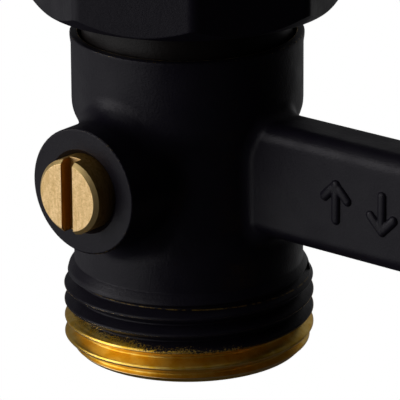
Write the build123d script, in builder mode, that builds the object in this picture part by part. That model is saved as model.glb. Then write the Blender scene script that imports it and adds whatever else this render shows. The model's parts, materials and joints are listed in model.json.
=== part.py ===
from build123d import *
from math import cos, pi, radians, sqrt, tan
import os

# Twin lockshield valve for a panel radiator, in millimetres.
# Origin: centre of the left leg's lower pipe face. +Z runs up the leg towards the radiator,
# +X runs from the left leg to the right leg, and the spindles face -Y.

# ---- clearances ----
running_clearance = 0.05     # radial, between parts that turn or slide in one another
seat_clearance = 0.03        # between stacked parts that only touch
o_ring_clearance = 0.01      # radial, so that a seal just stays off its bore

# ---- legs ----
leg_spacing = 50.0
leg_height = 34.65
ball_height = 21.3           # ball, spindle and bridge share this level
waist_radius = 11.05
collar_radius = 12.1
lower_collar_top = 13.1
upper_collar_bottom = 26.5
collar_taper = 2.2           # height of each slope between a collar and the waist
collar_blend = 4.0           # rounding at both ends of the slopes
rim_radius = 12.2
rim_rounding = 0.15
rim_band = 0.5               # height of the rim's widest part
rim_flare_height = 1.2
flare_step = 0.47            # skirt inside the thread's crest
flare_height = 1.35          # forged skirt between the thread and the lower collar
flare_slope = 0.3
flare_shoulder = 0.45

# ---- pipe thread, G 3/4 parallel Whitworth ----
thread_radius = 13.22
thread_pitch = 25.4 / 14
thread_depth = 0.640327 * thread_pitch
thread_length = 7.9
thread_runout = 0.5
thread_rounding = 0.137329 * thread_pitch
flank_half_angle = 27.5

# ---- water way ----
socket_radius = 9.05
socket_depth = 9.0
socket_chamfer = 0.8
chamber_gap = 0.8            # round the ball
spigot_step = 0.9            # ledge between the chamber and the tailpiece's bore
lip_radius = 11.4            # counterbore inside the upper rim
lip_depth = 1.75

# ---- bridge ----
bridge_height = 12.4
bridge_drop = 0.05           # below the spindles' level
bridge_thickness = 6.6
bridge_rounding = 1.9
bridge_fillet = 1.5
arrow_spread = 5.8           # between the two flow arrows
arrow_length = 4.7
arrow_width = 4.3
arrow_stroke = 0.95
arrow_height = 0.35

# ---- spindle boss ----
boss_radius = 6.65
boss_reach = 16.8            # leg axis to boss face
boss_rounding = 0.2
boss_fillet = 2.4
bore_chamfer = 0.45

# ---- ball and seats ----
ball_radius = 8.5
seat_gap = 0.06              # between ball and seat
ball_wall = 3.0              # between the ball's outside and its port
seat_bore_step = 0.3         # seat's bore stands back from the port
tang_width = 3.0
tang_length = 7.0
tang_end_clearance = 0.5
ball_slot_wall = 0.35        # metal left between the slot's floor and the port

# ---- spindle ----
spindle_radius = 3.95
spindle_chamfer = 0.42       # round the slotted face
spindle_reach = 19.2         # leg axis to the slotted face
slot_width = 1.5
slot_depth = 1.4
shoulder_radius = 4.75
shoulder_thickness = 1.2
washer_thickness = 0.6
o_ring_groove_depth = 1.0
o_ring_groove_width = 1.4
inner_o_ring_reach = 12.9
outer_o_ring_reach = 15.3

# ---- tailpiece, snap ring and gasket ----
tailpiece_radius = 11.0
tailpiece_bore = 7.6
tailpiece_rise = 9.3         # above the leg's rim
tail_o_ring_groove_depth = 0.88
tail_o_ring_groove_width = 1.2
ring_wire = 1.3
ring_gap_angle = 24          # opening of the split ring
recess_depth = 0.5
gasket_thickness = 1.5
gasket_clearance = 0.48      # inside the nut's thread
gasket_bore = 8.0

# ---- union nut ----
nut_wall = 2.28              # between the thread's crest and a flat
nut_sides = 8
nut_height = 14.0
nut_gap = 3.3                # between rim and nut when the nut is pulled up
nut_shoulder = 2.4
nut_edge_step = 0.15          # end circles lie inside the flats, where the chamfer cone starts
nut_chamfer_angle = 45
nut_corner_rounding = 1.5
nut_rest_turn = -3.0          # the loose nut stands turned a little about its leg
nut_relief_height = 1.9
nut_thread_clearance = 0.12

# ---- worked out from the above ----
sides = {"left": 0.0, "right": leg_spacing}
port_radius = ball_radius - ball_wall
seat_bore_radius = port_radius + seat_bore_step
slot_floor = port_radius + ball_slot_wall
chamber_radius = ball_radius + chamber_gap
spigot_radius = chamber_radius + spigot_step
flare_radius = thread_radius - flare_step
web_top = ball_height - ball_radius
chamber_top = ball_height + ball_radius
lip_floor = leg_height - lip_depth
thread_root = thread_radius - thread_depth
spindle_bore = spindle_radius + running_clearance
shoulder_bore = shoulder_radius + 2 * running_clearance
seat_reach = shoulder_bore + 2 * running_clearance   # ball centre to the near face of a seat
seat_thickness = ball_radius - seat_reach
shoulder_start = ball_radius + seat_clearance
washer_start = shoulder_start + shoulder_thickness
shoulder_seat = washer_start + washer_thickness + seat_clearance
tang_end = slot_floor + tang_end_clearance
tailpiece_top = leg_height + tailpiece_rise
nut_bottom = leg_height + nut_gap
nut_top = nut_bottom + nut_height
nut_travel = nut_gap - 2 * running_clearance
nut_bore = tailpiece_radius + 2 * running_clearance
ring_radius = tailpiece_radius - recess_depth + running_clearance + ring_wire / 2
ring_height = nut_bottom + nut_shoulder + running_clearance + ring_wire / 2
recess_radius = tailpiece_radius - recess_depth
nut_across_flats = 2 * (thread_radius + nut_wall)
nut_edge_radius = nut_across_flats / 2 - nut_edge_step
gasket_radius = thread_root + nut_thread_clearance - gasket_clearance
o_ring_thickness = spindle_bore - (spindle_radius - o_ring_groove_depth) - 2 * o_ring_clearance
tail_o_ring_thickness = tail_o_ring_groove_depth - 2 * o_ring_clearance
tail_o_ring_height = chamber_top + tail_o_ring_groove_width


# Plane whose X is a radius and whose Y runs out along the spindle, for turned spindle parts.
spindle_profile = Plane(origin=(0, 0, ball_height), x_dir=(1, 0, 0), z_dir=(0, 0, -1))
spindle_axis = Axis((0, 0, ball_height), (0, -1, 0))


def spindle_plane(reach):
    """Plane across the spindle axis, facing the front, at a distance from the leg axis."""
    return Plane(origin=(0, -reach, ball_height), x_dir=(1, 0, 0), z_dir=(0, -1, 0))


def ring(inner, outer, bottom, height):
    """Plain turned ring about the leg axis."""
    with BuildPart() as blank:
        with BuildSketch(Plane.XY.offset(bottom)):
            Circle(outer)
            Circle(inner, mode=Mode.SUBTRACT)
        extrude(amount=height)
    return blank.part


def male_thread_groove():
    """Right-hand helical V groove of the pipe thread, from below the pipe end to the run-out."""
    overrun = 0.2
    root_half = thread_rounding / 2
    depth = thread_depth + overrun
    mouth_half = root_half + depth * tan(radians(flank_half_angle))
    start = -thread_pitch
    with BuildPart() as groove:
        with BuildLine() as path:
            Helix(pitch=thread_pitch, height=thread_length - start, radius=thread_root, center=(0, 0, start))
        with BuildSketch(Plane(origin=(thread_root, 0, start), x_dir=(1, 0, 0), z_dir=(0, -1, 0))):
            with BuildLine():
                Polyline((0, -root_half), (depth, -mouth_half), (depth, mouth_half), (0, root_half), close=True)
            make_face()
        sweep(path=path.line, is_frenet=True)
    return groove.part


def turned(outline):
    """Solid of revolution about the left leg's axis, from (radius, height) points."""
    with BuildPart() as blank:
        with BuildSketch(Plane.XZ):
            with BuildLine():
                Polyline(*outline, close=True)
            make_face()
        revolve(axis=Axis.Z)
    return blank.part


def curved_joints(part, near):
    """Edges where curved faces meet, kept where near(centre) is true."""
    return part.edges().filter_by(
        lambda e: e.geom_type not in (GeomType.CIRCLE, GeomType.LINE) and near(e.center())
    )


def make_leg():
    """Outside of one leg with its spindle boss blended in, before anything is bored."""
    runout_top = thread_length + thread_runout
    skirt_top = runout_top + flare_height
    with BuildPart() as leg:
        with BuildSketch(Plane.XZ) as section:
            with BuildLine():
                Polyline(
                    (0, 0),
                    (thread_radius - thread_depth, 0),
                    (thread_radius, thread_depth),
                    (thread_radius, thread_length),
                    (flare_radius, runout_top),
                    (flare_radius - flare_slope, skirt_top - flare_shoulder),
                    (collar_radius, skirt_top),
                    (collar_radius, lower_collar_top),
                    (waist_radius, lower_collar_top + collar_taper),
                    (waist_radius, upper_collar_bottom - collar_taper),
                    (collar_radius, upper_collar_bottom),
                    (collar_radius, leg_height - rim_flare_height),
                    (rim_radius, leg_height - rim_band),
                    (rim_radius, leg_height),
                    (0, leg_height),
                    close=True,
                )
            make_face()
            top_corner = section.vertices().group_by(Axis.Y)[-1].sort_by(Axis.X)[-1]
            fillet(top_corner, radius=rim_rounding)
            slope_ends = [
                v for v in section.vertices()
                if lower_collar_top - 1e-6 < v.Y < upper_collar_bottom + 1e-6 and v.X > 0
            ]
            fillet(slope_ends, radius=collar_blend)
        revolve(axis=Axis.Z)
        with BuildSketch(spindle_plane(0)):
            Circle(boss_radius)
        extrude(amount=boss_reach)
        fillet(
            curved_joints(leg.part, lambda c: -boss_reach < c.Y < -waist_radius / 2),
            radius=boss_fillet,
        )
        face_rim = leg.faces().sort_by(Axis.Y)[0].edges()
        fillet(face_rim, radius=boss_rounding)
    return leg.part


def make_forging():
    """Two legs joined by the bridge, blended where they meet."""
    leg = make_leg()
    bridge_section = Plane(
        origin=(0, 0, ball_height - bridge_drop), x_dir=(0, 1, 0), z_dir=(1, 0, 0)
    )
    half_thickness = bridge_thickness / 2 + bridge_fillet
    with BuildPart() as forging:
        for x in sides.values():
            add(leg.moved(Location((x, 0, 0))))
        with BuildSketch(bridge_section):
            RectangleRounded(bridge_thickness, bridge_height, bridge_rounding)
        extrude(amount=leg_spacing)
        fillet(
            curved_joints(
                forging.part,
                lambda c: abs(c.Y) < half_thickness
                and waist_radius / 2 < c.X < leg_spacing - waist_radius / 2
                and abs(c.Z - ball_height) < bridge_height / 2 + bridge_fillet,
            ),
            radius=bridge_fillet,
        )
    return forging.part


def make_arrow(x, up):
    """Raised flow arrow on the bridge's front, pointing up or down."""
    front = Plane(origin=(x, -bridge_thickness / 2, ball_height), x_dir=(1, 0, 0), z_dir=(0, -1, 0))
    sign = 1 if up else -1
    half = arrow_length / 2
    side = arrow_width / 2
    stem = arrow_stroke / 2
    barb = arrow_stroke * sqrt(2)       # height of a slanting stroke
    with BuildPart() as arrow:
        with BuildSketch(front):
            with BuildLine():
                Polyline(
                    (0, sign * half),
                    (side, sign * (half - side)),
                    (side, sign * (half - side - barb)),
                    (stem, sign * (half - stem - barb)),
                    (stem, -sign * half),
                    (-stem, -sign * half),
                    (-stem, sign * (half - stem - barb)),
                    (-side, sign * (half - side - barb)),
                    (-side, sign * (half - side)),
                    close=True,
                )
            make_face()
        extrude(amount=arrow_height, both=True)
    return arrow.part


def leg_hollow():
    """Everything bored out of a leg along its own axis."""
    return turned([
        (0, -1),
        (socket_radius + socket_chamfer + 1, -1),
        (socket_radius, socket_chamfer),
        (socket_radius, socket_depth),
        (port_radius, socket_depth),
        (port_radius, web_top),
        (chamber_radius, web_top),
        (chamber_radius, chamber_top),
        (spigot_radius, chamber_top),
        (spigot_radius, lip_floor),
        (lip_radius, lip_floor),
        (lip_radius, leg_height + 1),
        (0, leg_height + 1),
    ])


def spindle_hollow():
    """Stepped bore of a boss: spindle bore, room for the shoulder, chamfer at the mouth."""
    with BuildPart() as bore:
        with BuildSketch(spindle_profile):
            with BuildLine():
                Polyline(
                    (0, 0),
                    (shoulder_bore, 0),
                    (shoulder_bore, shoulder_seat),
                    (spindle_bore, shoulder_seat),
                    (spindle_bore, boss_reach - bore_chamfer),
                    (spindle_bore + bore_chamfer + 1, boss_reach + 1),
                    (0, boss_reach + 1),
                    close=True,
                )
            make_face()
        revolve(axis=spindle_axis)
    return bore.part


def make_valve_body():
    hollow = leg_hollow()
    bore = spindle_hollow()
    groove = male_thread_groove()
    with BuildPart() as body:
        add(make_forging())
        for offset, up in ((-arrow_spread / 2, True), (arrow_spread / 2, False)):
            add(make_arrow(leg_spacing / 2 + offset, up))
        for x in sides.values():
            for cut in (hollow, bore, groove):
                add(cut.moved(Location((x, 0, 0))), mode=Mode.SUBTRACT)
    return body.part


def make_ball():
    with BuildPart() as ball:
        with Locations((0, 0, ball_height)):
            Sphere(ball_radius)
            Cylinder(port_radius, 4 * ball_radius, mode=Mode.SUBTRACT)
        with Locations((0, -slot_floor - ball_radius / 2, ball_height)):
            Box(4 * ball_radius, ball_radius, tang_width + 2 * running_clearance, mode=Mode.SUBTRACT)
    return ball.part


def make_seat(upper):
    side = 1 if upper else -1
    with BuildPart() as seat:
        with Locations((0, 0, ball_height + side * (seat_reach + seat_thickness / 2))):
            Cylinder(chamber_radius, seat_thickness)
            Cylinder(seat_bore_radius, seat_thickness, mode=Mode.SUBTRACT)
        with Locations((0, 0, ball_height)):
            Sphere(ball_radius + seat_gap, mode=Mode.SUBTRACT)
    return seat.part


def make_spindle():
    groove_floor = spindle_radius - o_ring_groove_depth
    groove_half = o_ring_groove_width / 2
    with BuildPart() as spindle:
        with BuildSketch(spindle_profile):
            with BuildLine():
                Polyline(
                    (0, shoulder_start),
                    (shoulder_radius, shoulder_start),
                    (shoulder_radius, washer_start),
                    (spindle_radius, washer_start),
                    (spindle_radius, inner_o_ring_reach - groove_half),
                    (groove_floor, inner_o_ring_reach - groove_half),
                    (groove_floor, inner_o_ring_reach + groove_half),
                    (spindle_radius, inner_o_ring_reach + groove_half),
                    (spindle_radius, outer_o_ring_reach - groove_half),
                    (groove_floor, outer_o_ring_reach - groove_half),
                    (groove_floor, outer_o_ring_reach + groove_half),
                    (spindle_radius, outer_o_ring_reach + groove_half),
                    (spindle_radius, spindle_reach - spindle_chamfer),
                    (spindle_radius - spindle_chamfer, spindle_reach),
                    (0, spindle_reach),
                    close=True,
                )
            make_face()
        revolve(axis=spindle_axis)
        with BuildSketch(spindle_plane(tang_end)):
            Rectangle(tang_length, tang_width)
        extrude(amount=shoulder_start - tang_end)
        with BuildSketch(spindle_plane(spindle_reach - slot_depth)):
            Rectangle(slot_width, 3 * spindle_radius)
        extrude(amount=2 * slot_depth, mode=Mode.SUBTRACT)
    return spindle.part


def make_thrust_washer():
    with BuildPart() as washer:
        with BuildSketch(spindle_plane(washer_start + seat_clearance / 2)):
            Circle(shoulder_bore - running_clearance)
            Circle(spindle_bore, mode=Mode.SUBTRACT)
        extrude(amount=washer_thickness)
    return washer.part


def make_spindle_o_ring(reach):
    """Seal in a spindle groove, just clear of the boss bore."""
    centre_radius = spindle_bore - o_ring_clearance - o_ring_thickness / 2
    with BuildPart() as seal:
        with BuildSketch(spindle_profile):
            with Locations((centre_radius, reach)):
                Circle(o_ring_thickness / 2)
        revolve(axis=spindle_axis)
    return seal.part


def make_tailpiece():
    spigot = spigot_radius
    groove_floor = spigot - tail_o_ring_groove_depth
    groove_half = tail_o_ring_groove_width / 2
    neck_start = lip_floor + seat_clearance
    recess_top = ring_height + ring_wire / 2 + running_clearance
    recess_bottom = ring_height - ring_wire / 2 - nut_travel - running_clearance
    return turned([
        (tailpiece_bore, chamber_top + seat_clearance),
        (spigot, chamber_top + seat_clearance),
        (spigot, tail_o_ring_height - groove_half),
        (groove_floor, tail_o_ring_height - groove_half),
        (groove_floor, tail_o_ring_height + groove_half),
        (spigot, tail_o_ring_height + groove_half),
        (spigot, neck_start),
        (tailpiece_radius, neck_start),
        (tailpiece_radius, recess_bottom),
        (recess_radius, recess_bottom),
        (recess_radius, recess_top),
        (tailpiece_radius, recess_top),
        (tailpiece_radius, tailpiece_top - 0.3),
        (tailpiece_radius - 0.3, tailpiece_top),
        (tailpiece_bore, tailpiece_top),
    ])


def make_tailpiece_o_ring():
    centre_radius = spigot_radius - o_ring_clearance - tail_o_ring_thickness / 2
    with BuildPart() as seal:
        with BuildSketch(Plane.XZ):
            with Locations((centre_radius, tail_o_ring_height)):
                Circle(tail_o_ring_thickness / 2)
        revolve(axis=Axis.Z)
    return seal.part


def make_snap_ring():
    """Split wire ring that rides on the nut's shoulder inside the tailpiece's recess."""
    with BuildPart() as wire:
        with BuildSketch(Plane.XZ):
            with Locations((ring_radius, ring_height)):
                Circle(ring_wire / 2)
        revolve(axis=Axis.Z, revolution_arc=360 - ring_gap_angle)
    return wire.part


def make_gasket():
    return ring(gasket_bore, gasket_radius, tailpiece_top, gasket_thickness)


def make_union_nut():
    """Octagonal nut, chamfered at both ends, with a shoulder below its parallel thread grooves."""
    corner = nut_across_flats / 2 / cos(pi / nut_sides)
    drop = (corner + 1 - nut_edge_radius) * tan(radians(nut_chamfer_angle))
    relief_top = nut_bottom + nut_shoulder + nut_relief_height
    minor = thread_root + nut_thread_clearance
    major = thread_radius + nut_thread_clearance
    root_half = thread_rounding / 2
    mouth_half = root_half + thread_depth * tan(radians(flank_half_angle))
    hollow = [
        (0, nut_bottom - 1),
        (nut_bore, nut_bottom - 1),
        (nut_bore, nut_bottom + nut_shoulder),
        (major, nut_bottom + nut_shoulder),
        (major, relief_top),
        (minor, relief_top),
    ]
    level = relief_top + thread_pitch
    while level + mouth_half < nut_top - thread_depth:
        hollow += [
            (minor, level - mouth_half),
            (major, level - root_half),
            (major, level + root_half),
            (minor, level + mouth_half),
        ]
        level += thread_pitch
    hollow += [(minor, nut_top - thread_depth), (major + 1, nut_top + 1), (0, nut_top + 1)]
    with BuildPart() as nut:
        with BuildSketch(Plane.XY.offset(nut_bottom)) as octagon:
            RegularPolygon(nut_across_flats / 2, nut_sides, major_radius=False, rotation=nut_rest_turn)
            fillet(octagon.vertices(), radius=nut_corner_rounding)
        extrude(amount=nut_height)
        add(turned([
            (0, nut_bottom),
            (nut_edge_radius, nut_bottom),
            (corner + 1, nut_bottom + drop),
            (corner + 1, nut_top - drop),
            (nut_edge_radius, nut_top),
            (0, nut_top),
        ]), mode=Mode.INTERSECT)
        add(turned(hollow), mode=Mode.SUBTRACT)
    return nut.part


def write(piece, name):
    piece.label = name
    export_step(piece, f"parts/{name}.step")


os.makedirs("parts", exist_ok=True)
write(make_valve_body(), "valve_body")

leg_pieces = {
    "union_nut": make_union_nut(),
    "tailpiece": make_tailpiece(),
    "nut_snap_ring": make_snap_ring(),
    "radiator_gasket": make_gasket(),
    "tailpiece_o_ring": make_tailpiece_o_ring(),
    "upper_ball_seat": make_seat(upper=True),
    "lower_ball_seat": make_seat(upper=False),
    "ball": make_ball(),
    "spindle": make_spindle(),
    "spindle_thrust_washer": make_thrust_washer(),
    "spindle_inner_o_ring": make_spindle_o_ring(inner_o_ring_reach),
    "spindle_outer_o_ring": make_spindle_o_ring(outer_o_ring_reach),
}
for side, x in sides.items():
    for piece_name, piece in leg_pieces.items():
        write(piece.moved(Location((x, 0, 0))), f"{side}_{piece_name}")
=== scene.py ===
# %% [markdown]
# # Twin lockshield valve
# The valve is one black-painted brass forging: two legs joined by a bridge, a slotted brass
# spindle in front of each leg, a union nut on top and a pipe thread below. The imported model
# gives every moving and fitting part its true size and place, so it is loaded first and
# everything else is built around it, in metres and in the same frame.

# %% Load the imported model
import json
import math

import bmesh
import bpy
from mathutils import Matrix, Quaternion, Vector


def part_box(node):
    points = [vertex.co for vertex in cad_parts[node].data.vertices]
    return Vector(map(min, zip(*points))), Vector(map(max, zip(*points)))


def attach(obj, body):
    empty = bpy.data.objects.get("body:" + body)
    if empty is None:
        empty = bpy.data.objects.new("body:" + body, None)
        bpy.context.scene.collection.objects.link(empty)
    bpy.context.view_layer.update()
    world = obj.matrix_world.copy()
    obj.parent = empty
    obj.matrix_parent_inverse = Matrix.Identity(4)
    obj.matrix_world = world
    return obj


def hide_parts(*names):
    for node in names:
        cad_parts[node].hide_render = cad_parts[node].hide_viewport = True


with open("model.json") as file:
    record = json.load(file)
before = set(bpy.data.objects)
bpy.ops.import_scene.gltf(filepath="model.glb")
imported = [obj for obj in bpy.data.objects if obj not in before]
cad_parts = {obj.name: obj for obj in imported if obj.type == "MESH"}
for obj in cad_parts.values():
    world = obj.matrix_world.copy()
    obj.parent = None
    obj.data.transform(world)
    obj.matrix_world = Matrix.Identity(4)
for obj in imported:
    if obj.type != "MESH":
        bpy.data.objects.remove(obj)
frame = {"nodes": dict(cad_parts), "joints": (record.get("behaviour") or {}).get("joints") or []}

MM = 0.001
scene = bpy.context.scene
nodes = frame["nodes"]
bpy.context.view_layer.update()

# %% [markdown]
# A few heights and radii steer both the shapes and the masks in the materials. Most are read
# from the frame: the body's box gives the leg spacing and the thread's crest, and a joint gives
# the spindles' level. The last two are in millimetres, as all outlines further down are.

# %% Landmarks
body_low, body_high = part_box("valve_body")
thread_radius = -body_low.x
leg_height = body_high.z
leg_spacing = body_high.x - thread_radius
spindle_joint = next(j for j in frame["joints"] if j["name"] == "left_spindle_turn")
spindle_height = spindle_joint["pos_m"][2]
thread_pitch = 25.4 / 14 * MM
thread_depth = 0.640327 * thread_pitch
thread_length = 7.9
joint_height = 9.75
print("leg spacing, mm:", round(leg_spacing / MM, 3),
      "spindle height, mm:", round(spindle_height / MM, 3))

# %% [markdown]
# ## Camera
# A long lens from a good distance keeps the legs nearly parallel. The view comes from the
# front right and a little above. The camera turns round a point just below the left spindle.

# %% Camera
view_azimuth = math.radians(39.63)
view_elevation = math.radians(19.39)
view_roll = math.radians(-0.38)
view_distance = 408.4 * MM
view_shift = 1.23 * MM
view_drop = 5.51 * MM
sensor_width = 36.0
focal_length = 349.2


def direction(azimuth, elevation):
    """Unit vector out from the valve; azimuth 0 is the front and 90 the right."""
    return Vector((
        math.sin(azimuth) * math.cos(elevation),
        -math.cos(azimuth) * math.cos(elevation),
        math.sin(elevation),
    ))


view_right = Vector((math.cos(view_azimuth), math.sin(view_azimuth), 0))
view_target = view_right * view_shift + Vector((0, 0, spindle_height - view_drop))
view_back = direction(view_azimuth, view_elevation)
view_turn = (-view_back).to_track_quat("-Z", "Y")

camera_data = bpy.data.cameras.new("camera")
camera_data.sensor_width = sensor_width
camera_data.lens = focal_length
camera_data.clip_start = 0.01
camera_data.clip_end = 10
camera = bpy.data.objects.new("camera", camera_data)
camera.rotation_mode = "QUATERNION"
camera.location = view_target + view_back * view_distance
camera.rotation_quaternion = Quaternion(view_back, view_roll) @ view_turn
scene.collection.objects.link(camera)
scene.camera = camera

# %% [markdown]
# ## Light
# Black paint shows only what it mirrors, so the lights are broad panels round the left front: a
# bright one at eye level, dimmer ones beside, above and below it that let the sheen down each
# leg fall off slowly. Weak ones behind and on top lift the far edges. The front right stays
# dark. Each row gives a panel's azimuth, elevation, distance, width, height and radiance.

# %% Lights
white = (1.0, 1.0, 1.0)
soft_white = (1.0, 0.97, 1.0)
panels = {
    "key panel": (-45, 15, 0.60, 0.31, 0.36, 3.40, soft_white),
    "front panel": (-11, 15, 0.60, 0.33, 0.36, 1.50, soft_white),
    "low panel": (-30, -20, 0.60, 0.62, 0.36, 0.85, white),
    "low left panel": (-80, -20, 0.60, 0.36, 0.36, 0.36, white),
    "far left panel": (-110, 0, 0.60, 0.31, 0.60, 0.10, white),
    "high panel": (-30, 50, 0.60, 0.42, 0.36, 0.60, white),
    "back panel": (-172, -2, 0.60, 0.46, 0.75, 0.21, white),
    "rear left panel": (-140, 22, 0.60, 0.31, 0.20, 0.22, white),
    "top panel": (150, 74, 0.70, 0.40, 0.40, 0.30, white),
}


def soft_panel(name, azimuth, elevation, distance, width, height, radiance, tint):
    """Rectangular light facing the valve, given by how bright its surface looks."""
    light = bpy.data.lights.new(name, "AREA")
    light.shape = "RECTANGLE"
    light.size = width
    light.size_y = height
    light.energy = radiance * math.pi * width * height
    light.color = tint
    panel = bpy.data.objects.new(name, light)
    out = direction(math.radians(azimuth), math.radians(elevation))
    panel.location = view_target + out * distance
    panel.rotation_mode = "QUATERNION"
    panel.rotation_quaternion = out.to_track_quat("Z", "Y")
    scene.collection.objects.link(panel)


for panel_name, panel_row in panels.items():
    soft_panel(panel_name, *panel_row)

# %% [markdown]
# ## Shared shader helpers
# A small builder class keeps the node code readable: it adds nodes, and sets or links their
# sockets. Several finishes need the same effects, so each of those is a node group built once.


# %% Node builder
def tree_of(owner):
    """The owner's node tree, emptied."""
    owner.use_nodes = True
    owner.node_tree.nodes.clear()
    return owner.node_tree


class Net:
    """Adds linked nodes to a node tree, so that a material reads like a recipe."""

    def __init__(self, tree):
        self.tree = tree

    def join(self, socket, value):
        """Links a socket to another one, or sets it to a plain value."""
        if isinstance(value, bpy.types.NodeSocket):
            self.tree.links.new(value, socket)
        else:
            socket.default_value = value

    def feed(self, made, name, value):
        """Joins the input of that name."""
        wanted = name.replace("_", " ").lower()
        self.join(next(s for s in made.inputs if s.name.lower() == wanted and s.enabled), value)

    def add(self, kind, **sockets):
        made = self.tree.nodes.new("ShaderNode" + kind)
        for name, value in sockets.items():
            self.feed(made, name, value)
        return made

    def math(self, operation, *values):
        made = self.tree.nodes.new("ShaderNodeMath")
        made.operation = operation
        for socket, value in zip(made.inputs, values):
            self.join(socket, value)
        return made.outputs[0]

    def times(self, *values):
        """Product of all the values."""
        product = values[0]
        for value in values[1:]:
            product = self.math("MULTIPLY", product, value)
        return product

    def vector(self, operation, output, *values):
        made = self.tree.nodes.new("ShaderNodeVectorMath")
        made.operation = operation
        for socket, value in zip(made.inputs, values):
            self.join(socket, value)
        return made.outputs[output]

    def ramp(self, value, low, high, to_low=0.0, to_high=1.0):
        """Smooth step of a value between two limits."""
        made = self.tree.nodes.new("ShaderNodeMapRange")
        made.interpolation_type = "SMOOTHSTEP"
        for socket, given in zip(made.inputs, (value, low, high, to_low, to_high)):
            self.join(socket, given)
        return made.outputs[0]

    def mix(self, factor, low, high, kind="RGBA"):
        """Blend of two colours or, with kind VECTOR, of two normals."""
        made = self.tree.nodes.new("ShaderNodeMix")
        made.data_type = kind
        first, output = {"RGBA": (6, 2), "VECTOR": (4, 1)}[kind]
        for index, value in ((0, factor), (first, low), (first + 1, high)):
            self.join(made.inputs[index], value)
        return made.outputs[output]

    def noise(self, scale, detail=2.0, roughness=0.5, vector=None):
        place = vector if vector is not None else self.add("TexCoord").outputs["Object"]
        return self.add(
            "TexNoise", Vector=place, Scale=scale, Detail=detail, Roughness=roughness).outputs[0]

    def occlusion(self, distance, inside=False):
        """Openness of the piece itself round a point, looking outwards or into the metal."""
        made = self.add("AmbientOcclusion", Distance=distance)
        made.inside = inside
        made.only_local = True
        made.samples = 12
        return made.outputs["AO"]

    def rounded(self, radius):
        """Normal of a sharp edge seen as if rounded by a coat of paint or by handling."""
        made = self.add("Bevel", Radius=radius)
        made.samples = 8
        return made.outputs[0]


def new_group(name, inputs, outputs):
    """Empty shader group; inputs are (label, kind, value) and outputs (label, kind)."""
    group = bpy.data.node_groups.new(name, "ShaderNodeTree")
    for label, kind, value in inputs:
        socket = group.interface.new_socket(
            label, in_out="INPUT", socket_type="NodeSocket" + kind)
        if value is not None:
            socket.default_value = value
    for label, kind in outputs:
        group.interface.new_socket(label, in_out="OUTPUT", socket_type="NodeSocket" + kind)
    given = group.nodes.new("NodeGroupInput").outputs
    wanted = group.nodes.new("NodeGroupOutput").inputs
    return group, Net(group), given, wanted


def use_group(net, group, **sockets):
    """Places a shared group in a material with its own values."""
    placed = net.tree.nodes.new("ShaderNodeGroup")
    placed.node_tree = group
    for name, value in sockets.items():
        net.feed(placed, name, value)
    return placed.outputs


# %% [markdown]
# ## Backdrop and floor
# Both are plain and pale. They look white to the camera, yet stay dim in the paint's
# reflections, as with a lit sweep standing well away from the object.

# %% Backdrop and floor
dim_room = (0.025, 0.024, 0.027, 1)
floor_size = 3.0
floor_drop = 0.05 * MM

world = bpy.data.worlds.new("studio")
scene.world = world
net = Net(tree_of(world))
world_out = net.tree.nodes.new("ShaderNodeOutputWorld")
world_mix = net.add("MixShader")
net.join(world_mix.inputs[0], net.add("LightPath").outputs["Is Camera Ray"])
net.join(world_mix.inputs[1], net.add("Background", Color=dim_room).outputs[0])
net.join(world_mix.inputs[2], net.add("Background", Color=(1, 1, 1, 1)).outputs[0])
net.join(world_out.inputs[0], world_mix.outputs[0])

floor_mesh = bpy.data.meshes.new("floor")
floor_bm = bmesh.new()
bmesh.ops.create_grid(floor_bm, x_segments=1, y_segments=1, size=floor_size)
bmesh.ops.translate(floor_bm, verts=floor_bm.verts, vec=(0, 0, -floor_drop))
floor_bm.to_mesh(floor_mesh)
floor_bm.free()
floor = bpy.data.objects.new("floor", floor_mesh)
scene.collection.objects.link(floor)
floor.visible_glossy = False
floor.visible_diffuse = False
floor.visible_shadow = False
floor_paint = bpy.data.materials.new("white sweep")
net = Net(tree_of(floor_paint))
floor_out = net.tree.nodes.new("ShaderNodeOutputMaterial")
net.join(floor_out.inputs[0], net.add("Emission", Color=(1, 1, 1, 1)).outputs[0])
floor_mesh.materials.append(floor_paint)
scene.view_settings.view_transform = "Standard"

# %% [markdown]
# ## Shared shader groups
# **Place on the leg.** Paint, bare metal and lathe lines all follow a leg's axis. This group
# gives the distance from the nearer leg's axis, the height, how far the surface faces away from
# the axis, so that a bore can be told from an outside wall, and how far round to the right it
# lies. It reads Object coordinates, which stay with each piece when it moves.

# %% Group: leg place
leg_place, net, given, wanted = new_group(
    "leg place", [],
    [("Radius", "Float"), ("Height", "Float"), ("Outward", "Float"), ("Side", "Float")])
coords = net.add("TexCoord")
apart = net.add("SeparateXYZ", Vector=coords.outputs["Object"])
on_right = net.math("GREATER_THAN", apart.outputs[0], leg_spacing / 2)
local_x = net.math("SUBTRACT", apart.outputs[0], net.times(on_right, leg_spacing))
across = net.add("CombineXYZ", X=local_x, Y=apart.outputs[1]).outputs[0]
unit = net.vector("NORMALIZE", 0, across)
net.join(wanted["Radius"], net.vector("LENGTH", "Value", across))
net.join(wanted["Height"], apart.outputs[2])
net.join(wanted["Outward"], net.vector("DOT_PRODUCT", "Value", unit, coords.outputs["Normal"]))
net.join(wanted["Side"], net.vector("DOT_PRODUCT", "Value", unit, view_right))

# %% [markdown]
# **Grain.** Sprayed paint on a forging dries with a fine leathery skin over slow waves left by
# the die. Two noises, one fine and one slow, push a bump.

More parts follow.
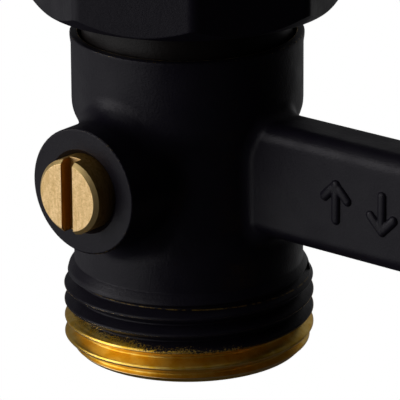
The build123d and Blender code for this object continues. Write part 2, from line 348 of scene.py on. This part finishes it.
# %% Group: grain
grain, net, given, wanted = new_group(
    "grain",
    [("Scale", "Float", 3000.0), ("Strength", "Float", 0.2), ("Depth", "Float", 0.00002),
     ("Normal", "Vector", None)],
    [("Normal", "Vector"), ("Mottle", "Float")])
fine = net.noise(given["Scale"], detail=3.0, roughness=0.6)
slow = net.noise(net.math("DIVIDE", given["Scale"], 9.0), detail=2.0)
bump = net.add(
    "Bump", Strength=given["Strength"], Distance=given["Depth"],
    Height=net.math("ADD", fine, net.times(slow, 1.6)), Normal=given["Normal"])
net.join(wanted["Normal"], bump.outputs[0])
net.join(wanted["Mottle"], slow)

# %% [markdown]
# **Edge wear.** Paint is thinnest on sharp outside edges, and there it rubs through in dashes.
# Ambient occlusion looking inside the metal is low at an outside edge, which finds the edges
# without painting them by hand; a noise breaks the line up.

# %% Group: edge wear
edge_wear, net, given, wanted = new_group(
    "edge wear",
    [("Reach", "Float", 0.0003), ("Onset", "Float", 0.3), ("Breakup", "Float", 900.0)],
    [("Mask", "Float"), ("Edge", "Float")])
edge = net.math("SUBTRACT", 1.0, net.occlusion(given["Reach"], inside=True))
dashes = net.noise(given["Breakup"], detail=4.0, roughness=0.7)
level = net.math("ADD", edge, net.times(net.math("SUBTRACT", dashes, 0.5), 0.9))
full_wear = net.math("ADD", given["Onset"], 0.12)
net.join(wanted["Mask"], net.ramp(level, given["Onset"], full_wear))
# The Edge output also drives the painted highlight along the body's bare brass edges.
net.join(wanted["Edge"], edge)

# %% [markdown]
# **Turning marks.** A lathe leaves fine rings. They are a noise of one coordinate only, so the
# marks run true round the work whatever its size.

# %% Group: turning marks
turning_marks, net, given, wanted = new_group(
    "turning marks",
    [("Coordinate", "Float", 0.0), ("Lines per metre", "Float", 9000.0),
     ("Strength", "Float", 0.3), ("Normal", "Vector", None)],
    [("Normal", "Vector"), ("Line", "Float")])
line = net.add("TexNoise", Scale=1.0, Detail=3.0)
line.noise_dimensions = "1D"
net.join(line.inputs["W"], net.times(given["Coordinate"], given["Lines per metre"]))
bump = net.add(
    "Bump", Strength=given["Strength"], Distance=0.00001, Height=line.outputs[0],
    Normal=given["Normal"])
net.join(wanted["Normal"], bump.outputs[0])
net.join(wanted["Line"], line.outputs[0])

# %% [markdown]
# ## Finishes
# Every finish ends in one Principled shader. Values that are the same all over sit on its own
# sockets; only what varies over the surface is linked.

# %% Colours
paint_black = (0.0070, 0.0060, 0.0104, 1)
neck_black = (0.0075, 0.0060, 0.0055, 1)
bare_brass = (0.96, 0.66, 0.16, 1)
deep_brass = (0.86, 0.50, 0.035, 1)
# pale brass: the pitted spindle face, and the painted highlight along the body's bare brass edges
pale_brass_and_edge_highlight = (0.97, 0.71, 0.37, 1)
# painted shade: brown for the spindle's slot and hollows
crevice_shade_brown = (0.38, 0.20, 0.026, 1)
sawn_brass = (0.70, 0.49, 0.21, 1)
dull_brass = (0.66, 0.44, 0.17, 1)
brown_brass = (0.58, 0.32, 0.06, 1)
turned_brass = (0.78, 0.50, 0.15, 1)
# painted highlight: bright brass for the spindle's chamfer
chamfer_highlight_brass = (0.98, 0.72, 0.30, 1)
paint_sheen = 0.17


def new_finish(name):
    """Material with an empty tree; returns it, its builder and its Principled shader."""
    finish = bpy.data.materials.new(name)
    net = Net(tree_of(finish))
    shader = net.add("BsdfPrincipled")
    out = net.tree.nodes.new("ShaderNodeOutputMaterial")
    net.join(out.inputs[0], shader.outputs[0])
    return finish, net, shader


# %% [markdown]
# ** Body paint.** Satin black over brass. The spray fades out over the last two turns of the
# pipe thread in a speckled edge, a little higher on the left than on the right. The bores stay
# bare, the rims of the bosses and collars wear through, and a thin line is rubbed where the
# thread runs out. Outside edges of the bare brass are painted paler, as a painted highlight.

# %% Finish: painted forging
recess_depth = 2.6 * MM
rim_band = 0.8 * MM
boss_reach = 19 * MM
spray_height = 3.75 * MM
spray_tilt = 0.45 * MM
runout_height = (thread_length + 0.15) * MM


def painted_forging():
    finish, net, shader = new_finish("painted forging")
    place = use_group(net, leg_place)
    wear = use_group(net, edge_wear, Reach=0.26 * MM, Onset=0.36, Breakup=1400.0)
    skin = use_group(
        net, grain, Scale=3600.0, Strength=0.60, Depth=0.05 * MM, Normal=net.rounded(0.14 * MM))
    marks = use_group(
        net, turning_marks, Coordinate=place["Height"], Lines_per_metre=9000.0, Strength=0.35,
        Normal=net.rounded(0.10 * MM))

    below_recess = net.math("LESS_THAN", place["Height"], leg_height - recess_depth)
    on_leg = net.math("LESS_THAN", place["Radius"], thread_radius + 0.1 * MM)
    inside = net.times(net.ramp(place["Outward"], -0.25, -0.35), below_recess, on_leg)

    speckle = net.noise(5200.0, detail=3.0, roughness=0.75)
    drift = net.noise(260.0, detail=1.0)
    spray_edge = net.math("SUBTRACT", spray_height, net.times(place["Side"], spray_tilt))
    ragged = net.math(
        "ADD",
        net.times(net.math("SUBTRACT", speckle, 0.5), 2.4 * MM),
        net.times(net.math("SUBTRACT", drift, 0.5), 0.9 * MM))
    below = net.math("SUBTRACT", net.math("ADD", spray_edge, ragged), place["Height"])
    unpainted = net.ramp(below, -0.10 * MM, 0.15 * MM)

    dashes = net.noise(1500.0, detail=3.0, roughness=0.7)
    runout = net.math("ABSOLUTE", net.math("SUBTRACT", place["Height"], runout_height))
    rubbed = net.times(net.ramp(runout, 0.06 * MM, 0.02 * MM), net.ramp(dashes, 0.40, 0.56))
    on_boss = net.times(
        net.math("SUBTRACT", 1.0, on_leg), net.math("LESS_THAN", place["Radius"], boss_reach))
    on_rim = net.math("GREATER_THAN", place["Height"], leg_height - rim_band)
    handled = net.times(wear["Mask"], net.math("MAXIMUM", on_boss, on_rim))
    worn = net.math("MAXIMUM", handled, net.times(rubbed, 0.22))
    bare = net.math("MAXIMUM", net.math("MAXIMUM", inside, unpainted), worn)

    tarnish = net.noise(700.0, detail=4.0, roughness=0.65)
    brass = net.mix(net.ramp(tarnish, 0.35, 0.65), deep_brass, bare_brass)
    # painted highlight: outside edges of the bare brass are mixed to pale brass
    brass = net.mix(net.ramp(wear["Edge"], 0.25, 0.55), brass, pale_brass_and_edge_highlight)
    net.feed(shader, "Base Color", net.mix(bare, paint_black, brass))
    net.feed(shader, "Metallic", bare)
    paint_rough = net.ramp(skin["Mottle"], 0.3, 0.7, 0.36, 0.44)
    brass_rough = net.ramp(marks["Line"], 0.2, 0.8, 0.28, 0.42)
    net.feed(shader, "Roughness", net.math(
        "ADD",
        net.times(net.math("SUBTRACT", 1.0, bare), paint_rough),
        net.times(bare, brass_rough)))
    shader.inputs["Specular IOR Level"].default_value = paint_sheen
    net.feed(shader, "Normal", net.mix(bare, skin["Normal"], marks["Normal"], kind="VECTOR"))
    return finish


# %% [markdown]
# **Nut and neck paint.** The same paint on machined work is flatter and a little smoother, and
# the bores stay bare.


# %% Finish: painted nut and neck
def painted_turning(name, colour, worn):
    finish, net, shader = new_finish(name)
    place = use_group(net, leg_place)
    wear = use_group(net, edge_wear, Reach=0.25 * MM, Onset=worn, Breakup=1100.0)
    skin = use_group(
        net, grain, Scale=3200.0, Strength=0.50, Depth=0.04 * MM, Normal=net.rounded(0.25 * MM))
    bare = net.math("MAXIMUM", net.ramp(place["Outward"], -0.25, -0.35), wear["Mask"])
    net.feed(shader, "Base Color", net.mix(bare, colour, bare_brass))
    net.feed(shader, "Metallic", bare)
    net.feed(shader, "Roughness", net.ramp(skin["Mottle"], 0.3, 0.7, 0.34, 0.42))
    shader.inputs["Specular IOR Level"].default_value = paint_sheen
    net.feed(shader, "Normal", skin["Normal"])
    return finish


# %% [markdown]
# ** Spindle brass.** The slotted face is sawn bar, pale and finely pitted. The chamfer round it
# is painted brighter, as a painted highlight, and the side is turned and deeper in colour. The
# slot and other hollows are painted dark brown where occlusion finds them, as painted shade.


# %% Finish: spindle brass
def spindle_brass():
    finish, net, shader = new_finish("spindle brass")
    coords = net.add("TexCoord")
    place = net.add("SeparateXYZ", Vector=coords.outputs["Object"])
    toward = net.add("SeparateXYZ", Vector=coords.outputs["Normal"])
    facing_front = net.times(toward.outputs[1], -1.0)
    front = net.ramp(facing_front, 0.90, 0.98)
    chamfer_highlight = net.ramp(facing_front, 0.35, 0.60)

    pits = net.noise(4200.0, detail=4.0, roughness=0.8)
    strokes = net.add("Mapping", Vector=coords.outputs["Object"], Scale=(3.0, 3.0, 0.5))
    clouds = net.noise(1100.0, detail=4.0, roughness=0.7, vector=strokes.outputs[0])
    face = net.mix(net.ramp(pits, 0.30, 0.60), sawn_brass, pale_brass_and_edge_highlight)
    face = net.mix(net.ramp(clouds, 0.35, 0.75, 0.0, 0.75), face, dull_brass)
    side = net.mix(net.ramp(clouds, 0.35, 0.6), brown_brass, turned_brass)
    # painted highlight: the chamfer band is mixed to bright brass
    side = net.mix(chamfer_highlight, side, chamfer_highlight_brass)
    # painted shade: occlusion darkens the slot and hollows to brown
    crevice_shade = net.ramp(net.occlusion(1.6 * MM), 0.84, 0.60)
    net.feed(shader, "Base Color", net.mix(crevice_shade, net.mix(front, side, face), crevice_shade_brown))
    shader.inputs["Metallic"].default_value = 1.0

    pitted_rough = net.ramp(pits, 0.3, 0.7, 0.52, 0.40)
    net.feed(shader, "Roughness", net.math("ADD", pitted_rough, net.times(front, 0.06)))
    marks = use_group(
        net, turning_marks, Coordinate=place.outputs[1], Lines_per_metre=11000.0, Strength=0.30,
        Normal=net.rounded(0.10 * MM))
    bump = net.add(
        "Bump", Strength=0.35, Distance=0.02 * MM, Height=pits, Normal=marks["Normal"])
    net.feed(shader, "Normal", bump.outputs[0])
    return finish


# %% [markdown]
# **Hidden parts.** Ball, seats, seals, snap ring and gasket show only down the bores, yet each
# gets the surface the real one has: polished chrome with hairlines, waxy fluoropolymer, dull
# rubber, drawn spring wire and pressed fibre.


# %% Finish: hidden parts
def hidden_finish(name, low, high, scale, rough, strength, metallic=0.0, stretch=(1, 1, 1)):
    """One noise drives colour, roughness and a faint bump; rough is its low and high end."""
    finish, net, shader = new_finish(name)
    coords = net.add("TexCoord")
    mapping = net.add("Mapping", Vector=coords.outputs["Object"], Scale=stretch)
    pattern = net.noise(scale, detail=4.0, roughness=0.65, vector=mapping.outputs[0])
    net.feed(shader, "Base Color", net.mix(net.ramp(pattern, 0.3, 0.7), low, high))
    net.feed(shader, "Roughness", net.ramp(pattern, 0.25, 0.75, *rough))
    shader.inputs["Metallic"].default_value = metallic
    bump = net.add(
        "Bump", Strength=strength, Distance=0.01 * MM, Height=pattern,
        Normal=net.rounded(0.08 * MM))
    net.feed(shader, "Normal", bump.outputs[0])
    return finish


# %% [markdown]
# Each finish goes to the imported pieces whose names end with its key.

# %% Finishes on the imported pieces
finishes = {
    "valve_body": painted_forging(),
    "union_nut": painted_turning("painted nut", paint_black, 0.78),
    "tailpiece": painted_turning("dark neck", neck_black, 0.80),
    "spindle": spindle_brass(),
    "ball": hidden_finish(
        "chromed ball", (0.60, 0.61, 0.62, 1), (0.72, 0.72, 0.73, 1),
        900, (0.06, 0.14), 0.05, metallic=1.0, stretch=(1, 1, 6)),
    "ball_seat": hidden_finish(
        "seat polymer", (0.72, 0.72, 0.69, 1), (0.82, 0.82, 0.80, 1),
        1500, (0.40, 0.55), 0.10),
    "washer": hidden_finish(
        "washer polymer", (0.66, 0.66, 0.62, 1), (0.76, 0.76, 0.73, 1),
        2000, (0.40, 0.55), 0.10),
    "o_ring": hidden_finish(
        "seal rubber", (0.010, 0.010, 0.010, 1), (0.020, 0.020, 0.020, 1),
        2500, (0.50, 0.70), 0.25),
    "snap_ring": hidden_finish(
        "spring wire", (0.30, 0.28, 0.25, 1), (0.45, 0.43, 0.40, 1),
        1500, (0.25, 0.40), 0.15, metallic=1.0),
    "gasket": hidden_finish(
        "seal fibre", (0.020, 0.024, 0.022, 1), (0.050, 0.056, 0.052, 1),
        3500, (0.65, 0.85), 0.45),
}
for node_name, node in nodes.items():
    kind = next(k for k in finishes if node_name.endswith(k))
    for slot in node.material_slots:
        slot.material = finishes[kind]
print("finishes:", len(finishes))

# %% [markdown]
# ## Threaded ends
# The pipe thread is what catches the light, so it is turned again as a finer mesh than a drawing
# needs: a blank is spun from its half outline, and a helical cutter with a rounded root and
# softly flared lips is taken out of it by a boolean.


# %% Helpers for turned work
def outline_of(points):
    """Closed wire outline from (radius, height) points in millimetres, in the X-Z plane."""
    bm = bmesh.new()
    verts = [bm.verts.new((radius * MM, 0, height * MM)) for radius, height in points]
    for here, following in zip(verts, verts[1:] + verts[:1]):
        bm.edges.new((here, following))
    return bm


def object_from(bm, name):
    """Finished mesh object at the origin, with its faces pointing outwards."""
    bmesh.ops.remove_doubles(bm, verts=bm.verts, dist=0.0005 * MM)
    bmesh.ops.recalc_face_normals(bm, faces=bm.faces)
    mesh = bpy.data.meshes.new(name)
    bm.to_mesh(mesh)
    bm.free()
    made = bpy.data.objects.new(name, mesh)
    scene.collection.objects.link(made)
    return made


def cut(work, tool):
    """Takes the tool out of the work, which keeps the result; the tool is thrown away."""
    modifier = work.modifiers.new("cut", "BOOLEAN")
    modifier.operation = "DIFFERENCE"
    modifier.solver = "EXACT"
    modifier.object = tool
    evaluated = work.evaluated_get(bpy.context.evaluated_depsgraph_get())
    result = bpy.data.meshes.new_from_object(evaluated)
    work.modifiers.clear()
    work.data = result
    bpy.data.objects.remove(tool)
    return work


# %% [markdown]
# The blank: a short lead-in cone at the pipe end, the full thread diameter, then the forged skirt
# with its two soft ridges that leads up to the collar. Corners are rounded by a vertex bevel on
# the wire before it is spun. All sizes are in millimetres.

# %% Blank
collar_radius = 12.1
socket_radius = 9.05
socket_lead = 0.8
port_radius = 5.5
socket_depth = 9.0
overlap = 0.1
corner_rounding = 0.16
crest = thread_radius / MM
root = crest - thread_depth / MM
pitch = thread_pitch / MM


def thread_blank():
    bm = outline_of([
        (socket_radius, socket_depth),
        (socket_radius, socket_lead),
        (socket_radius + socket_lead, 0),
        (root - 0.1, 0),
        (crest, thread_depth / MM + 0.1),
        (crest, thread_length - 0.40),
        (crest - 0.12, thread_length - 0.08),
        (crest - 0.42, thread_length + 0.15),
        (crest - 0.35, thread_length + 0.24),
        (crest - 0.53, thread_length + 0.95),
        (crest - 0.80, thread_length + 1.35),
        (collar_radius, joint_height),
        (collar_radius - overlap, joint_height + overlap),
        (port_radius, joint_height + overlap),
        (port_radius, socket_depth),
    ])
    lowest, highest = 0.5 * MM, (joint_height - 0.2) * MM
    soft = [v for v in bm.verts
            if v.co.x > (root - 0.3) * MM and lowest < v.co.z < highest]
    bmesh.ops.bevel(bm, geom=soft, offset=corner_rounding * MM, segments=3, profile=0.5,
                    affect="VERTICES", material=-1)
    bmesh.ops.spin(bm, geom=bm.verts[:] + bm.edges[:], cent=(0, 0, 0), axis=(0, 0, 1),
                   dvec=(0, 0, 0), angle=2 * math.pi, steps=192, use_merge=True,
                   use_duplicate=False)
    return object_from(bm, "thread blank")


# %% [markdown]
# The cutter: one closed groove section, carried round and up together. The lips flare almost to
# the next turn, which leaves the narrow rounded crest of a pipe thread.

# %% Cutter
half_flank_angle = math.radians(27.5)
lip_depth = 0.16
thread_start = -0.33


def thread_cutter():
    turns = (thread_length + pitch * 0.75) / pitch
    steps_per_turn = 96
    steps = round(turns * steps_per_turn)
    start = thread_start * pitch
    half = pitch / 2 - 0.02
    lip = crest - lip_depth
    lip_half = lip_depth + (lip - root) * math.tan(half_flank_angle)
    upper = [
        (root, 0.07),
        (root + 0.05, 0.14),
        (lip, lip_half),
        (crest - 0.08, lip_half + 0.10),
        (crest - 0.03, lip_half + 0.22),
        (crest + 0.01, half),
        (crest + 0.5, half),
    ]
    section = upper + [(radius, -height) for radius, height in reversed(upper)]
    bm = outline_of([(radius, start + height) for radius, height in section])
    bmesh.ops.spin(bm, geom=bm.verts[:] + bm.edges[:], cent=(0, 0, 0), axis=(0, 0, 1),
                   dvec=(0, 0, pitch * MM / steps_per_turn),
                   angle=2 * math.pi * steps / steps_per_turn, steps=steps, use_merge=False,
                   use_duplicate=False)
    bmesh.ops.holes_fill(bm, edges=[e for e in bm.edges if e.is_boundary], sides=0)
    return object_from(bm, "thread cutter")


# %% [markdown]
# ## Forging
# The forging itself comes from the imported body, because its blends round the bosses and the
# bridge are already true. A copy is merged, its plain lower ends are cut off where the skirt
# meets the collar, and the finer ends take their place.


# %% Body
def forging_top():
    bm = bmesh.new()
    bm.from_mesh(nodes["valve_body"].data)
    bmesh.ops.remove_doubles(bm, verts=bm.verts, dist=0.001 * MM)
    parted = bmesh.ops.bisect_plane(
        bm, geom=bm.verts[:] + bm.edges[:] + bm.faces[:], dist=0.0001 * MM,
        plane_co=(0, 0, joint_height * MM), plane_no=(0, 0, 1), clear_inner=True)
    rim = [e for e in parted["geom_cut"] if isinstance(e, bmesh.types.BMEdge)]
    bmesh.ops.triangle_fill(bm, edges=rim, use_beauty=True)
    return bm


# %% [markdown]
# The two flow arrows are cast marks, soft all over. Their flat stand-ins are taken off the
# bridge's face, and new ones are laid on it, each of three rounded strokes. A stroke is a ball
# whose halves are pulled apart and which is then flattened. All sizes are in millimetres.

# %% Arrows
bridge_front = -3.3
bridge_reach = 16
arrow_middle = leg_spacing / MM / 2
arrow_reach = 6
arrow_offset = 2.9
arrow_height = 0.34
stroke_radius = 0.52
stem_length = 3.7
barb_length = 2.0
barb_offset = 0.72
barb_level = 0.61


def clear_bridge_front(bm):
    """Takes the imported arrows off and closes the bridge's front again as one flat face."""
    front = bridge_front * MM
    near = 0.002 * MM
    gone = []
    for f in bm.faces:
        away = abs(f.calc_center_median().x / MM - arrow_middle)
        flat = all(abs(v.co.y - front) < near for v in f.verts)
        raised = all(front - 0.5 * MM < v.co.y < front + near for v in f.verts)
        if (flat and away < bridge_reach) or (raised and away < arrow_reach):
            gone.append(f)
    bmesh.ops.delete(bm, geom=gone, context="FACES")
    rim = [e for e in bm.edges if e.is_boundary]
    bmesh.ops.triangle_fill(bm, edges=rim, use_beauty=True)


def add_stroke(bm, x, z, length, lean):
    """One rounded stroke on the bridge's front; lean turns it in the front's own plane."""
    width, height = stroke_radius * MM, arrow_height * MM
    ball = bmesh.ops.create_uvsphere(bm, u_segments=24, v_segments=16, radius=width)
    for v in ball["verts"]:
        v.co.z += math.copysign(length / 2 * MM, v.co.z) if abs(v.co.z) > 1e-6 else 0
    place = (
        Matrix.Translation((x * MM, bridge_front * MM, spindle_height + z * MM))
        @ Matrix.Rotation(math.radians(lean), 4, "Y")
        @ Matrix.Diagonal((1, height / width, 1, 1))
    )
    bmesh.ops.transform(bm, matrix=place, verts=ball["verts"])


def add_arrow(bm, x, up):
    """Stem and two barbs."""
    tip = stem_length / 2 if up else -stem_length / 2
    add_stroke(bm, x, 0, stem_length, 0)
    for side in (-1, 1):
        lean = side * (-45 if up else 45)
        add_stroke(bm, x + side * barb_offset, tip * barb_level, barb_length, lean)


# %% [markdown]
# The pieces of the forging are put into one mesh. Its faces are shaded smooth except across
# sharp edges, and a weighted normal keeps the large flat faces even.


# %% Assembly
def make_body():
    bm = forging_top()
    clear_bridge_front(bm)
    add_arrow(bm, arrow_middle - arrow_offset, True)
    add_arrow(bm, arrow_middle + arrow_offset, False)
    print("forging:", len(bm.faces), "faces,",
          sum(1 for e in bm.edges if e.is_boundary), "open edges")
    end = cut(thread_blank(), thread_cutter())
    print("threaded end:", len(end.data.polygons), "faces")
    for shift in (0.0, leg_spacing):
        end.data.transform(Matrix.Translation((shift, 0, 0)))
        bm.from_mesh(end.data)
    bpy.data.objects.remove(end)
    mesh = bpy.data.meshes.new("valve_forging")
    bm.to_mesh(mesh)
    bm.free()
    mesh.attributes.remove(mesh.attributes["custom_normal"])
    mesh.shade_smooth()
    mesh.set_sharp_from_angle(angle=math.radians(32))
    mesh.materials.clear()
    mesh.materials.append(finishes["valve_body"])
    forging = bpy.data.objects.new("valve_forging", mesh)
    scene.collection.objects.link(forging)
    evened = forging.modifiers.new("even shading", "WEIGHTED_NORMAL")
    evened.keep_sharp = True
    evened.weight = 80
    return forging


forging = make_body()
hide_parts("valve_body")
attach(forging, "housing")
print("forging triangles:", sum(len(p.vertices) - 2 for p in forging.data.polygons))
